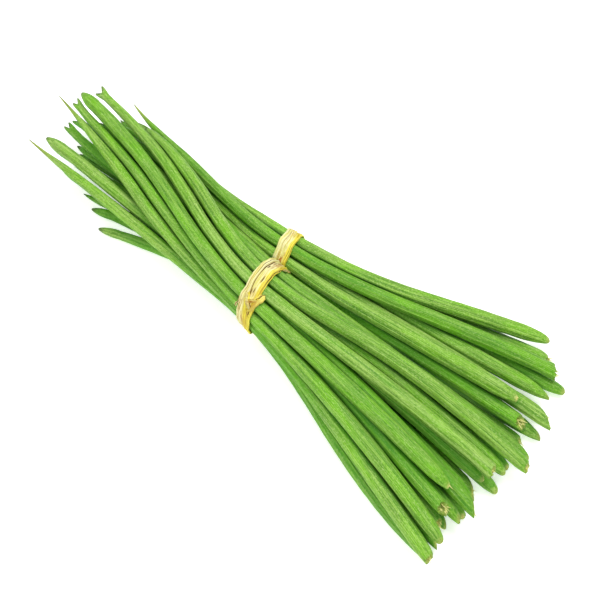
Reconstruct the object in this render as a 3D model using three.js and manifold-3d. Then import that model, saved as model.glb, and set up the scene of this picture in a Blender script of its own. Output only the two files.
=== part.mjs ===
// A bunch of moringa pods (drumsticks), lying on a table and held by one strip of dried plant
// fibre that is wound round two handfuls of pods in a figure of eight.
// Millimetres, +Z up. +X runs along the bunch from the pointed tips to the broken stem ends.
import * as THREE from "three";
import Module from "manifold-3d";

// A pod
const POD_RADIUS = 6.3; // at the thickest place, over the ribs
const GIRTH_SPREAD = 0.05; // pods differ this much in thickness
const RIBS = 9; // a moringa pod has nine ribs, three on each of its three valves
const RIB_DEPTH = 0.09; // share of the radius between a crest and a furrow
const SEAM_DEPTH = 0.15; // the same for the three furrows where the valves meet
const TWIST = 0.9; // the most that a pod turns about itself from tip to stem, radians
const GAP = 0.35; // air between two pods that lie together
const PRESSED = 0.35; // how far a pod that lies on the table is pressed flat
const LOWEST_TIP = 0.4; // height of a pod's very point above the table

// Where along a pod its section is set, as shares of its length from the tip, and the share of
// the largest radius there. A beaked pod ends in a long thin point, a broad one in a wide blade.
const STATIONS = [0, 0.04, 0.1, 0.19, 0.29, 0.39, 0.49, 0.58, 0.67, 0.76, 0.85, 0.925, 0.975, 1];
const BLUNT_GIRTH = [0, 0.52, 0.64, 0.7, 0.72, 0.72, 0.73, 0.78, 0.85, 0.93, 0.99, 1, 0.92, 0.66];
const BEAKED_GIRTH = [0, 0.2, 0.48, 0.68, 0.72, 0.72, 0.73, 0.78, 0.85, 0.93, 0.99, 1, 0.92, 0.66];
const BROAD_GIRTH = [0, 0.74, 0.82, 0.79, 0.75, 0.73, 0.73, 0.78, 0.85, 0.93, 0.99, 1, 0.92, 0.66];
const SLIM_GIRTH = [0, 0.36, 0.46, 0.57, 0.66, 0.7, 0.73, 0.78, 0.85, 0.93, 0.99, 1, 0.92, 0.66];

// The two handfuls at the tie: the middle of each, its radius and the radii of its rings of pods,
// and the X where the strip goes round it
const FRONT = { y: -18.6, z: 27, radius: 25.5, rings: [0, 10.2, 20.2], x: -21 };
const BACK = { y: 27.2, z: 19, radius: 17, rings: [0, 4.9, 12.2], x: -34 };
const TIE_X = -26;
const HELD_AT = [-43, -33, -23, -13]; // the handfuls are held round at these X
const VALLEY = [7.2, 10.2]; // the front handful ends and the back handful begins at these Y
const UNDER_TIE = 1.7; // room for the strip under the pods
const ROOM_SHARE = 0.5; // share of that room that is made in one round

// The outline of the bunch as the photo shows it: X, and the Y of the near side and of the far
// side. The photo looks down at a slant, so that a point above OUTLINE_HEIGHT seems to lie
// further along X and Y by SEEN_SHIFT for each millimetre, and a pod seems WIDER by a share.
const OUTLINE = [
  [-275, -36, 50],
  [-250, -36, 50],
  [-200, -35, 42],
  [-175, -36, 45.5],
  [-150, -38, 42.5],
  [-125, -36, 38],
  [-100, -34, 33.5],
  [-80, -36, 34.5],
  [-60, -38.5, 39],
  [-40, -41, 42],
  [-20, -44, 44],
  [0, -46.5, 47],
  [20, -51, 51],
  [50, -60, 60],
  [100, -80, 80.5],
  [150, -96, 98],
  [225, -106, 110],
];
const OUTLINE_HEIGHT = 20;
const SEEN_SHIFT = { x: -0.379, y: 0.436 };
const WIDER = 1.09;

// Between the tie and its tip a pod bows out: after this share of the way it has come to this
// share of the way across.
const SHOULDER_AT = 0.6;
const SHOULDER_OUT = 0.78;

const BEND_KEPT = 0.75; // share of the planned bend that a pod keeps as it settles

// The pods. Each row has the handful, the ring in it, the angle round the ring in degrees from
// +Y over the top, the tip's X, Y and Z, and the stem end's X, Y and Z.
const PODS = [
  [FRONT, 2, 18, [-222, 28, 20], [208, 11, 16]],
  [FRONT, 2, 45, [-191, 36, 27], [215, 1, 16]],
  [FRONT, 2, 73, [-247, 45, 24], [201, -24, 24]],
  [FRONT, 2, 100, [-251, 25, 30], [185, -50, 28]],
  [FRONT, 2, 127, [-255, 24, 20], [204, -89, 14]],
  [FRONT, 2, 154, [-264, 26, 26], [206, -92, 9]],
  [FRONT, 2, 181, [-256, -31, 19], [201, -104, 6]],
  [FRONT, 2, 209, [-221, -31, 12], [198, -86, 6]],
  [FRONT, 2, 236, [-166, -63, 4], [196, -78, 6]],
  [FRONT, 2, 264, [-197, -37, 5], [200, -58, 6]],
  [FRONT, 2, 292, [-183, -39, 8], [195, -34, 6]],
  [FRONT, 2, 320, [-228, -8, 4], [206, -33, 6]],
  [FRONT, 2, 348, [-230, 14, 12], [196, 27, 7]],
  [FRONT, 1, 79, [-249, 9, 18], [208, -48, 16]],
  [FRONT, 1, 130, [-247, -1, 24], [193, -63, 20]],
  [FRONT, 1, 182, [-245, -18, 27], [194, -72, 7]],
  [FRONT, 1, 233, [-247, -19, 16], [203, -77, 6]],
  [FRONT, 1, 285, [-225, -14, 10], [200, -38, 8]],
  [FRONT, 1, 336, [-230, 4, 10], [200, -10, 8]],
  [FRONT, 1, 28, [-226, 18, 22], [203, -8, 15]],
  [FRONT, 0, 0, [-232, -4, 14], [195, -30, 16]],
  [BACK, 2, 50, [-206, 38, 12], [161, 103, 6]],
  [BACK, 2, 95, [-219, 64, 20], [183, 76, 18]],
  [BACK, 2, 140, [-215, 30, 22], [177, 41, 26]],
  [BACK, 2, 185, [-228, 20, 10], [191, 31, 19]],
  [BACK, 2, 230, [-225, 10, 4], [204, 30, 6]],
  [BACK, 2, 275, [-225, 22, 4], [196, 52, 6]],
  [BACK, 2, 320, [-218, 32, 4], [194, 73, 6]],
  [BACK, 2, 5, [-210, 40, 8], [170, 97, 8]],
  [BACK, 1, 60, [-222, 34, 14], [204, 43, 15]],
  [BACK, 1, 240, [-230, 16, 5], [190, 60, 8]],
];
const BEAKED = [5, 6, 22]; // rows of the list whose pods have a long thin point
const BROAD = [3, 15];
const SLIM = [9];
const LOOSE = { 8: -110, 9: -120, 10: -130, 22: -195 }; // rows that leave the outline before an X
const LOOSE_FOLLOW = 12; // a loose pod keeps to its plan this many times more

// The strip of the tie
const STRIP_THICKNESS = 1.1;
const STRIP_GAP = 0.6; // air between the strip and the pods
const FRONT_WIDTH = 14.5;
const BACK_WIDTH = 12.5;
const FRONT_LEAN = 0.14; // the loops run askew: this much along X for half their width in Y
const BACK_LEAN = 0.28;
const STRIP_RIDGES = [0.5, 1.05, 0.65, 1.1, 0.6, 1.05, 0.5]; // thickness across the strip
const CROSSING = 0.9; // how much thicker the strip is between the handfuls, where it crosses itself
const STEPS_ROUND = 40;

// A loose strand that has split off the strip, over the near side of the front loop
const STRAND = { steps: 14, from: 1.9, turn: 2.2, x: 1, drift: 5.5, width: 3.5, lift: 0.2, thickness: 1.5 };

// A small repeatable random source, between 0 and 1
function randomSource(seed) {
  let state = seed;
  return () => {
    state = (state * 1664525 + 1013904223) % 4294967296;
    return state / 4294967296;
  };
}

// The point at a given X on a smooth curve through knots that are in order of X
function pointAt(knots, x) {
  let k = 0;
  while (k < knots.length - 2 && x > knots[k + 1].x) k++;
  const slope = (i, axis) => {
    const a = knots[Math.max(i - 1, 0)];
    const b = knots[Math.min(i + 1, knots.length - 1)];
    return (b[axis] - a[axis]) / (b.x - a.x);
  };
  const a = knots[k];
  const b = knots[k + 1];
  const span = b.x - a.x;
  const t = (x - a.x) / span;
  const along = (axis) =>
    a[axis] * (1 + 2 * t) * (1 - t) ** 2 +
    b[axis] * t * t * (3 - 2 * t) +
    span * t * (1 - t) * ((1 - t) * slope(k, axis) - t * slope(k + 1, axis));
  return new THREE.Vector3(x, along("y"), along("z"));
}

// Each pod before it settles: its planned stations, its radii, and how its ribs turn
const random = randomSource(7);
const pods = PODS.map(([handful, ring, degrees, tipPlace, stemPlace], index) => {
  const angle = (degrees * Math.PI) / 180;
  const around = handful.rings[ring];
  const tie = new THREE.Vector3(
    TIE_X,
    handful.y + around * Math.cos(angle),
    handful.z + around * Math.sin(angle),
  );
  const tip = new THREE.Vector3(...tipPlace);
  const stem = new THREE.Vector3(...stemPlace);
  const shoulder = tie.clone().lerp(tip, SHOULDER_OUT);
  shoulder.x = tie.x + (tip.x - tie.x) * SHOULDER_AT;
  const knots = [tip, shoulder, tie, stem];
  const fine = [];
  const steps = 200;
  for (let i = 0; i <= steps; i++)
    fine.push(pointAt(knots, tip.x + ((stem.x - tip.x) * i) / steps));
  const walked = [0];
  for (let i = 1; i <= steps; i++) walked.push(walked[i - 1] + fine[i].distanceTo(fine[i - 1]));
  const plan = STATIONS.map((share) => {
    let i = 0;
    while (i < steps - 1 && walked[i + 1] < share * walked[steps]) i++;
    const t = (share * walked[steps] - walked[i]) / (walked[i + 1] - walked[i]);
    return fine[i].clone().lerp(fine[i + 1], t);
  });
  const widest = POD_RADIUS * (1 + GIRTH_SPREAD * (2 * random() - 1));
  let girth = BLUNT_GIRTH;
  if (BEAKED.includes(index)) girth = BEAKED_GIRTH;
  if (BROAD.includes(index)) girth = BROAD_GIRTH;
  if (SLIM.includes(index)) girth = SLIM_GIRTH;
  return {
    handful,
    looseBefore: LOOSE[index] ?? -Infinity,
    plan,
    points: plan.map((p) => p.clone()),
    radii: girth.map((share) => share * widest),
    turn: random() * Math.PI * 2,
    twist: TWIST * (2 * random() - 1),
  };
});

// How far along each of two straight pieces, as shares, they are nearest to each other
function nearest(p1, q1, p2, q2) {
  const clamp = (v) => Math.min(1, Math.max(0, v));
  const ux = q1.x - p1.x, uy = q1.y - p1.y, uz = q1.z - p1.z;
  const vx = q2.x - p2.x, vy = q2.y - p2.y, vz = q2.z - p2.z;
  const wx = p1.x - p2.x, wy = p1.y - p2.y, wz = p1.z - p2.z;
  const a = ux * ux + uy * uy + uz * uz;
  const e = vx * vx + vy * vy + vz * vz;
  const b = ux * vx + uy * vy + uz * vz;
  const c = ux * wx + uy * wy + uz * wz;
  const f = vx * wx + vy * wy + vz * wz;
  const flat = a * e - b * b;
  let s = flat > 1e-9 ? clamp((b * f - c * e) / flat) : 0.5;
  let t = (b * s + f) / e;
  if (t < 0 || t > 1) {
    t = clamp(t);
    s = clamp((b * t - c) / a);
  }
  return [s, t];
}

// Moves the two ends of a piece so that the point at share t on it moves by the given amount
function shift(p, q, t, dx, dy, dz) {
  const weight = (1 - t) ** 2 + t ** 2;
  const a = (1 - t) / weight;
  const b = t / weight;
  p.set(p.x + dx * a, p.y + dy * a, p.z + dz * a);
  q.set(q.x + dx * b, q.y + dy * b, q.z + dz * b);
}

// Pushes two pods apart wherever they meet, and returns the deepest overlap that it found
function separate(one, two) {
  const furthest = 2 * POD_RADIUS + 2;
  let deepest = 0;
  for (let i = 0; i + 1 < one.points.length; i++) {
    const p1 = one.points[i], q1 = one.points[i + 1];
    for (let j = 0; j + 1 < two.points.length; j++) {
      const p2 = two.points[j], q2 = two.points[j + 1];
      if (p2.x > q1.x + furthest || q2.x < p1.x - furthest) continue;
      if (Math.abs(p1.y + q1.y - p2.y - q2.y) > 4 * furthest) continue;
      const [s, t] = nearest(p1, q1, p2, q2);
      const dx = p2.x + (q2.x - p2.x) * t - p1.x - (q1.x - p1.x) * s;
      const dy = p2.y + (q2.y - p2.y) * t - p1.y - (q1.y - p1.y) * s;
      const dz = p2.z + (q2.z - p2.z) * t - p1.z - (q1.z - p1.z) * s;
      const away = Math.hypot(dx, dy, dz);
      const r1 = one.radii[i] + (one.radii[i + 1] - one.radii[i]) * s;
      const r2 = two.radii[j] + (two.radii[j + 1] - two.radii[j]) * t;
      const over = r1 + r2 + GAP - away;
      if (over <= 0 || away < 1e-6) continue;
      deepest = Math.max(deepest, over);
      const push = (0.5 * over) / away;
      shift(p1, q1, s, -dx * push, -dy * push, -dz * push);
      shift(p2, q2, t, dx * push, dy * push, dz * push);
    }
  }
  return deepest;
}

// Where a pod passes a given X: its piece, the share along it, and the Y, Z and radius there
function passing(pod, x) {
  const { points, radii } = pod;
  let i = 0;
  while (i < points.length - 2 && points[i + 1].x < x) i++;
  const p = points[i], q = points[i + 1];
  const t = (x - p.x) / (q.x - p.x);
  const slant = p.distanceTo(q) / (q.x - p.x);
  const radius = (radii[i] + (radii[i + 1] - radii[i]) * t) * slant;
  return { p, q, t, radius, y: p.y + (q.y - p.y) * t, z: p.z + (q.z - p.z) * t };
}

// Draws a pod into the round of its handful
function hold(pod, share) {
  const { y, z, radius } = pod.handful;
  for (const x of HELD_AT) {
    const at = passing(pod, x);
    const off = Math.hypot(at.y - y, at.z - z);
    const over = off + at.radius - radius;
    if (over <= 0) continue;
    const k = (-over / off) * share;
    shift(at.p, at.q, at.t, 0, (at.y - y) * k, (at.z - z) * k);
  }
}

// Keeps room for the strip between the handfuls and under them
function makeRoom(pod, share) {
  for (const x of HELD_AT) {
    const at = passing(pod, x);
    const side = pod.handful === FRONT ? 1 : -1;
    const edge = pod.handful === FRONT ? VALLEY[0] : VALLEY[1];
    const over = Math.max(0, side * (at.y - edge) + at.radius);
    const under = Math.max(0, at.radius + UNDER_TIE - at.z);
    shift(at.p, at.q, at.t, 0, -side * over * share, under * share);
  }
}

// Keeps a pod inside the outline of the bunch
function confine(pod, share) {
  pod.points.forEach((p, i) => {
    if (p.x < pod.looseBefore) return;
    const above = p.z - OUTLINE_HEIGHT;
    const seenX = p.x + SEEN_SHIFT.x * above;
    const seenY = p.y + SEEN_SHIFT.y * above;
    let k = 0;
    while (k < OUTLINE.length - 2 && seenX > OUTLINE[k + 1][0]) k++;
    const [x0, near0, far0] = OUTLINE[k];
    const [x1, near1, far1] = OUTLINE[k + 1];
    const t = (seenX - x0) / (x1 - x0);
    const near = near0 + (near1 - near0) * t + WIDER * pod.radii[i];
    const far = far0 + (far1 - far0) * t - WIDER * pod.radii[i];
    p.y += (Math.min(far, Math.max(near, seenY)) - seenY) * share;
  });
}

// Lets the pods settle: they sink, stay nearly straight, keep near their plan, are drawn
// together, and cross neither each other nor the table. The stations keep their X. Returns the
// deepest overlap that is left.
function settle(rounds, { sink, straighten, follow, draw, grip }) {
  let deepest = 0;
  for (let round = 0; round < rounds; round++) {
    for (const pod of pods) {
      const { points, plan } = pod;
      points.forEach((p, i) => {
        p.z -= sink;
        const kept = p.x < pod.looseBefore ? follow * LOOSE_FOLLOW : follow;
        p.lerp(plan[i], kept).setX(plan[i].x);
      });
      for (let i = 1; i + 1 < points.length; i++) {
        const a = points[i - 1], p = points[i], b = points[i + 1];
        const t = (p.x - a.x) / (b.x - a.x);
        const planned = plan[i - 1].clone().lerp(plan[i + 1], t).sub(plan[i]);
        const off = a.clone().lerp(b, t).sub(p).addScaledVector(planned, -BEND_KEPT);
        off.multiplyScalar(straighten / 2);
        p.add(off);
        a.addScaledVector(off, t - 1);
        b.addScaledVector(off, -t);
      }
      confine(pod, draw);
      hold(pod, grip);
      makeRoom(pod, ROOM_SHARE);
    }
    deepest = 0;
    for (let i = 0; i < pods.length; i++)
      for (let j = i + 1; j < pods.length; j++)
        deepest = Math.max(deepest, separate(pods[i], pods[j]));
    for (const pod of pods)
      pod.points.forEach((p, i) => (p.z = Math.max(p.z, pod.radii[i] - PRESSED)));
  }
  return deepest;
}

// First near the plan, then sinking and packing, and last only apart from each other
settle(200, { sink: 0.05, straighten: 0.5, follow: 0.03, draw: 0.5, grip: 0.4 });
settle(250, { sink: 0.06, straighten: 0.6, follow: 0.008, draw: 0.5, grip: 0.4 });
settle(200, { sink: 0.02, straighten: 0.6, follow: 0.002, draw: 0.3, grip: 0.4 });
settle(150, { sink: 0, straighten: 0.2, follow: 0, draw: 0.3, grip: 0.2 });
const deepest = settle(300, { sink: 0, straighten: 0.002, follow: 0, draw: 0, grip: 0 });
if (deepest > GAP) throw new Error("two pods still cross by " + (deepest - GAP));

// One pod: a ribbed skin through its stations, closed by its point and its broken stem end
function podGeometry(pod) {
  const { points, radii, turn, twist } = pod;
  const sides = 2 * RIBS;
  const rows = points.slice(1).map((p, k) => {
    const i = k + 1;
    const before = points[i - 1];
    const after = points[Math.min(i + 1, points.length - 1)];
    const along = after.clone().sub(before).normalize();
    const across = new THREE.Vector3(0, 0, 1).cross(along).normalize();
    const up = along.clone().cross(across);
    const ring = [];
    for (let side = 0; side < sides; side++) {
      const angle = turn + twist * STATIONS[i] + (side * Math.PI) / RIBS;
      const furrow = side % 6 === 1 ? SEAM_DEPTH : RIB_DEPTH;
      const r = radii[i] * (side % 2 ? 1 - furrow : 1);
      const v = p.clone();
      v.addScaledVector(across, r * Math.cos(angle));
      v.addScaledVector(up, r * Math.sin(angle));
      v.z = Math.max(v.z, 0);
      ring.push(v);
    }
    return ring;
  });
  const tip = points[0].clone();
  tip.z = Math.max(tip.z, LOWEST_TIP);
  const vertices = [tip, ...rows.flat(), points[points.length - 1].clone()];
  const last = vertices.length - 1;
  const at = (row, side) => 1 + row * sides + (side % sides);
  const faces = [];
  for (let side = 0; side < sides; side++) {
    faces.push(0, at(0, side + 1), at(0, side));
    faces.push(last, at(rows.length - 1, side), at(rows.length - 1, side + 1));
    for (let row = 0; row + 1 < rows.length; row++) {
      const a = at(row, side), b = at(row, side + 1);
      const c = at(row + 1, side + 1), d = at(row + 1, side);
      faces.push(a, b, c, a, c, d);
    }
  }
  const geometry = new THREE.BufferGeometry();
  const flat = new Float32Array(vertices.flatMap((v) => v.toArray()));
  geometry.setAttribute("position", new THREE.BufferAttribute(flat, 3));
  geometry.setIndex(faces);
  geometry.computeVertexNormals();
  return geometry;
}

// How far the handful reaches from its middle in a direction, as a stretched strip would lie
function reachOf(handful, x, angle) {
  const sections = pods.filter((pod) => pod.handful === handful).map((pod) => passing(pod, x));
  let nearestLine = Infinity;
  const lines = 90;
  for (let i = 0; i < lines; i++) {
    const facing = angle + ((i + 0.5) / lines - 0.5) * Math.PI * 0.9;
    const c = Math.cos(facing), s = Math.sin(facing);
    const spans = sections.map((at) => (at.y - handful.y) * c + (at.z - handful.z) * s + at.radius);
    nearestLine = Math.min(nearestLine, Math.max(...spans) / Math.cos(facing - angle));
  }
  return nearestLine;
}

// A strip round a handful. For a place along it, from 0 to 1, "path" gives the angle, the X of
// its middle, its width, its lift off the pods, its thickness and how even its ridges are there.
// A closed strip joins its own end.
function stripGeometry(handful, steps, closed, path) {
  const ridges = STRIP_RIDGES;
  const vertices = [];
  for (let i = 0; i < steps; i++) {
    const { angle, x, width, lift, thickness, even } = path(i / (closed ? steps : steps - 1));
    const outer = [];
    const inner = [];
    ridges.forEach((ridge, k) => {
      const across = x + (k / (ridges.length - 1) - 0.5) * width;
      const base = reachOf(handful, across, angle) + STRIP_GAP + lift;
      const top = base + thickness * (ridge + (1 - ridge) * even);
      for (const [list, r] of [[inner, base], [outer, top]]) {
        const y = handful.y + r * Math.cos(angle);
        const z = handful.z + r * Math.sin(angle);
        list.push(new THREE.Vector3(across, y, Math.max(z, 0)));
      }
    });
    const kept = [inner[0], inner[Math.floor(ridges.length / 2)], inner[ridges.length - 1]];
    vertices.push(...outer, ...kept.reverse());
  }
  const count = ridges.length + 3;
  const faces = [];
  const at = (i, k) => (i % steps) * count + (k % count);
  for (let i = 0; i + (closed ? 0 : 1) < steps; i++)
    for (let k = 0; k < count; k++) {
      const a = at(i, k), b = at(i, k + 1), c = at(i + 1, k + 1), d = at(i + 1, k);
      faces.push(a, c, b, a, d, c);
    }
  if (!closed)
    for (let k = 1; k + 1 < count; k++) {
      faces.push(at(0, 0), at(0, k), at(0, k + 1));
      faces.push(at(steps - 1, 0), at(steps - 1, k + 1), at(steps - 1, k));
    }
  return { vertices, faces };
}

const wasm = await Module();
wasm.setup();
const toSolid = ({ vertices, faces }) => {
  const vertProperties = new Float32Array(vertices.flatMap((v) => v.toArray()));
  const mesh = new wasm.Mesh({ numProp: 3, vertProperties, triVerts: new Uint32Array(faces) });
  return new wasm.Manifold(mesh);
};

// The tie: a loop round each handful, thicker where they cross, and a loose strand over the front
function tieGeometry() {
  const loop = (handful, width, facing, lean) =>
    stripGeometry(handful, STEPS_ROUND, true, (share) => {
      const angle = share * 2 * Math.PI;
      const inValley = Math.max(0, Math.cos(angle - facing)) ** 6;
      return {
        angle,
        x: handful.x - lean * handful.radius * Math.cos(angle),
        width: width * (1 + 0.05 * Math.sin(3 * angle)),
        lift: 0,
        thickness: STRIP_THICKNESS + CROSSING * inValley,
        even: Math.min(1, 4 * inValley),
      };
    });
  const front = toSolid(loop(FRONT, FRONT_WIDTH, 0, FRONT_LEAN));
  const back = toSolid(loop(BACK, BACK_WIDTH, Math.PI, BACK_LEAN));
  const strand = toSolid(
    stripGeometry(FRONT, STRAND.steps, false, (share) => ({
      angle: STRAND.from + share * STRAND.turn,
      x: FRONT.x + STRAND.x + share * STRAND.drift,
      width: STRAND.width * (1 + 0.4 * Math.sin(share * Math.PI)),
      lift: STRAND.lift,
      thickness: STRAND.thickness,
      even: 0,
    })),
  );
  const tie = front.add(back).add(strand);
  const made = tie.getMesh();
  const geometry = new THREE.BufferGeometry();
  geometry.setAttribute("position", new THREE.BufferAttribute(made.vertProperties, 3));
  geometry.setIndex(new THREE.BufferAttribute(made.triVerts, 1));
  return geometry;
}

const bunch = new THREE.Group();
const green = new THREE.MeshStandardMaterial({ color: 0x6fa93a, roughness: 0.5, metalness: 0 });
pods.forEach((pod, index) => {
  const mesh = new THREE.Mesh(podGeometry(pod), green);
  mesh.name = `pod_${String(index + 1).padStart(2, "0")}`;
  bunch.add(mesh);
});
const straw = new THREE.MeshStandardMaterial({ color: 0xe3d27a, roughness: 0.75, metalness: 0 });
const tie = new THREE.Mesh(tieGeometry(), straw);
tie.name = "raffia_tie";
bunch.add(tie);

// The frame: the middle of the footprint, on the table
const box = new THREE.Box3().setFromObject(bunch);
const middle = box.getCenter(new THREE.Vector3());
bunch.position.set(-middle.x, -middle.y, -box.min.z);
export default bunch;
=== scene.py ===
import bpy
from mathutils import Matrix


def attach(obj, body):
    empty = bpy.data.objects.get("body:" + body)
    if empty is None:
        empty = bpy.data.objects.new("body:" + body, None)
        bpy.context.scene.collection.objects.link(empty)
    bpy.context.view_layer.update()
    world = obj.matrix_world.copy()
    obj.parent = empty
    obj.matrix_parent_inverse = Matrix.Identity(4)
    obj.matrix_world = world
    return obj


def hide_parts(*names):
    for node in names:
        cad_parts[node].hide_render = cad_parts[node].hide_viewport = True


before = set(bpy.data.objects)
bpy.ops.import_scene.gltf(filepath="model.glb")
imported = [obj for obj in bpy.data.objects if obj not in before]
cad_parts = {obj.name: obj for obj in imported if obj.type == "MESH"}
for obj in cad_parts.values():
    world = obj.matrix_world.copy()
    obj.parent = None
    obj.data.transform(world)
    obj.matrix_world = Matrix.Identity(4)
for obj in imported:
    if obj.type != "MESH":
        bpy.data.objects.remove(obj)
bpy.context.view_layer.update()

import math
import random

import bpy
import numpy as np
from mathutils import Vector

bl_info = {
    "name": "Moringa bunch",
    "version": (1, 0, 0),
    "blender": (4, 5, 0),
    "location": "View3D > Sidebar > Moringa",
    "description": "Models a tied bunch of moringa pods round its CAD frame",
    "category": "Add Mesh",
}

PODS = sorted(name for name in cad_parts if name.startswith("pod_"))
FRONT_PODS = 21  # the first so many pods are in the front handful

AROUND = 72  # corners round a pod: eight for each of its nine ribs
ALONG = 130  # steps along a pod
CURVE_STEPS = 16  # steps of a pod's middle line between two stations
MERGE_DISTANCE = 1e-5
FULL_TURN = 6.28  # near enough, for random places round a pod and along a wave
POD_SEED = 100
FIBRE_SEED = 5
STRAND_SEED = 21
RIBS = 9
THREADS = 27.0  # fine pale lines round a pod
CROWDED = 0.12  # how strongly the steps along a pod crowd towards its ends

# How the stem ends are broken off, and which pods end so: the length over which a pod tapers there
# and the share by which it shrinks, where a minus widens it, the slope of the break and the angle that
# it faces, the height of the torn rim, the depth of the hollow, the length of the rounding, the share
# of brown and the number of loose fibres. Lengths are in metres, and angles in radians round the pod
# from its far side over its top.
STEM_ENDS = {
    "ragged": {"pods": (2, 6, 7, 13, 16, 29), "taper": 0.02, "shrink": 0.05, "slope": 0.5, "faces": 0.7,
               "torn": 0.0023, "dip": 0.0014, "dome": 0.0004, "rust": 0.45, "fibres": 9},
    "rounded": {"pods": (1, 5, 12, 20, 21, 22, 27, 28),
                "taper": 0.024, "shrink": 0.35, "slope": 0.4, "faces": 1.0,
                "torn": 0.0002, "dip": -0.0006, "dome": 0.0035, "rust": 0.1, "fibres": 0},
    "wedge": {"pods": (14, 30, 8, 11), "taper": 0.02, "shrink": -0.1, "slope": 1.5, "faces": 0.2,
              "torn": 0.0009, "dip": 0.0002, "dome": 0.001, "rust": 0.4, "fibres": 2},
    "broad": {"pods": (3, 23), "taper": 0.018, "shrink": -0.42, "slope": 0.55, "faces": 0.4,
              "torn": 0.0031, "dip": 0.0014, "dome": 0.0004, "rust": 0.4, "fibres": 8},
    "open": {"pods": (15, 25), "taper": 0.012, "shrink": -0.15, "slope": 0.8, "faces": 1.3,
             "torn": 0.0026, "dip": 0.005, "dome": 0.0002, "rust": 0.8, "fibres": 9},
    "pointed": {"pods": (17, 26, 9, 18, 31), "taper": 0.028, "shrink": 0.5, "slope": 1.2, "faces": 0.4,
                "torn": 0.0004, "dip": -0.0004, "dome": 0.002, "rust": 0.35, "fibres": 0},
    "dotted": {"pods": (4, 24, 10, 19), "taper": 0.022, "shrink": 0.45, "slope": 0.7, "faces": 1.4,
               "torn": 0.0003, "dip": 0.0001, "dome": 0.001, "rust": 0.0, "fibres": 1},
}
# Pods with a forked tip, and how far each of its two points moves aside, in metres
FORKED_TIPS = {3: 0.0036, 5: 0.0024, 14: 0.0024, 15: 0.002, 20: 0.002, 28: 0.0024}
BLUNT_TIPS = (4, 9, 11, 16)
BEAKED_TIPS = (6, 7, 23)
# How much fuller than a cone a tip is, by its kind: any other tip draws its own from a range
TIP_FULLNESS = ((BEAKED_TIPS, 0.38), (BLUNT_TIPS, 0.55), (FORKED_TIPS, 0.68))
OTHER_FULLNESS = (0.25, 0.45)

# Painted shade: how the skin's green darkens between the pods and beneath higher ones, where shade falls; in
# metres
GAP_SHADE_REACH = 0.004  # the painted shade is deeper where another pod is nearer than this
UNDER_SHADE_REACH = 0.008  # and painted shade where a higher pod is nearer than this, seen from above
UNDER_SHADE_DEPTH = 0.014  # the more so the further below that pod's top it lies, up to this depth

# Lengths along a pod, in metres
TIP_LENGTH = 0.019  # a tip is made fuller over this length
FORK_LENGTH = 0.012  # a forked tip is open over this length
FORK_NOTCH = 0.005  # and the notch between its points is this deep
HOOK_LENGTH = 0.035  # a tip turns a little aside over this length
BEAK_LENGTH = 0.026  # a beak is pale over about this length
SLIM_LENGTH = 0.13  # a pod grows slimmer over this much of its stem half
WILTED_LENGTH = 0.03  # the stem end is pressed flat over this length
PALE_LENGTH = 0.0035  # the skin turns pale this near the break
RUST_LENGTH = 0.0022  # and brown this near it
RIPPLE_LENGTH = 0.017  # from one slight swelling over the seeds to the next
BREAK_LENGTH = 0.004  # a break is spread over this length
BREAK_SPREAD = 2.6  # and over so many times its slope and the pod's radius more
BREAK_FORWARD = 0.7  # the end is set forward again by so many times its slope and the radius
HOLLOW = 0.003  # an end that is hollow by more than this is brown inside, not round its edge

END_RING = 0.999  # corners past this share of the tube's length are on the broken end
TIP_START = 1e-4  # keeps the tip's power of a length from dividing by nothing
BROAD_SHARE = 0.68  # of a rib's height is the broad rib
FINE_SHARE = 0.32  # and the rest the fine ridges over it
SEAMS = 3  # every third furrow is a seam between two valves
SEAM_DEPTH = 0.05  # as a share of the radius
GIRTH_SHARE = 0.985  # of the CAD pod's girth, before the swellings add to it
SWELLING = 0.022  # height of the slow swellings, as a share of the girth
RIPPLE = 0.008  # height of the swellings over the seeds, likewise
THREE_SIDED = 0.03  # how far a pod's section is from round
LOBED = 0.02  # how much that changes along it
WILTED_WIDER = 0.1  # share by which the stem end is pressed wider
WILTED_FLATTER = 0.22  # and flatter
PATTERN_SPREAD = 9  # metres by which the pods' patterns are set apart, so that no two are alike
STATION_GAP = 0.0025  # stations of a CAD pod lie further apart along X than this

# The loose fibres of the torn ends, in metres
FIBRE_LENGTHS = (0.002, 0.0056)
FIBRE_RADII = (0.0003, 0.0007)
FIBRE_POINT = 0.00008
FIBRE_SIDES = 6
FIBRE_ROOT = 0.001  # a fibre starts this far inside the end
FIBRE_INWARD = 0.1  # and this share of the way from the rim to the middle
FIBRE_SCATTER = 0.35  # how far a fibre leans away from the pod's own direction
OVER_TABLE = 0.0005  # no fibre comes nearer to the table than this

# The tie
STRIP_AROUND = 220  # sections round a loop
STRIP_ACROSS = 30  # steps across each side of the strip
STRAND_AROUND = 24
STRAND_ALONG = 70
OUTLINE_ROWS = 9  # places along X at which the pods' outline is worked out for a loop
OUTLINE_MARGIN = 0.001  # metres past the strip's edges
FACINGS = 180  # directions in which the pods hold the stretched strip off
GRAZING = 0.1  # a facing that is turned further away than this cosine holds nothing off
FAR = 1e9
SKIN_SWELL = 1.02  # the fine pods swell a little past the radii of the CAD pods
STRIP_GAP = 0.0003  # metres between the pods and the strip
CREASE_GAP = 0.0023  # from crease to crease across the strip
CREASE_WIDTHS = (0.0003, 0.0006)
WIDTH_CHANGE = 0.07  # share by which a loop's width changes along it
RAGGED_EDGE = 0.05  # and its edges' finer raggedness
LOOP_DRIFT = 0.0004  # metres by which a loop strays along X
STRAND_DRIFT = 0.0006  # and a strand
CRUMPLE = 0.22  # share by which a strand's width and thickness change along it
CROSSING = 0.8  # share by which a loop is thicker where the two cross
HANDFUL_RADIUS = 0.025  # turns an angle round a handful into a length for the shaders
UNDERSIDE = 0.0005  # sets the strip's two sides apart for the shaders

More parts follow.
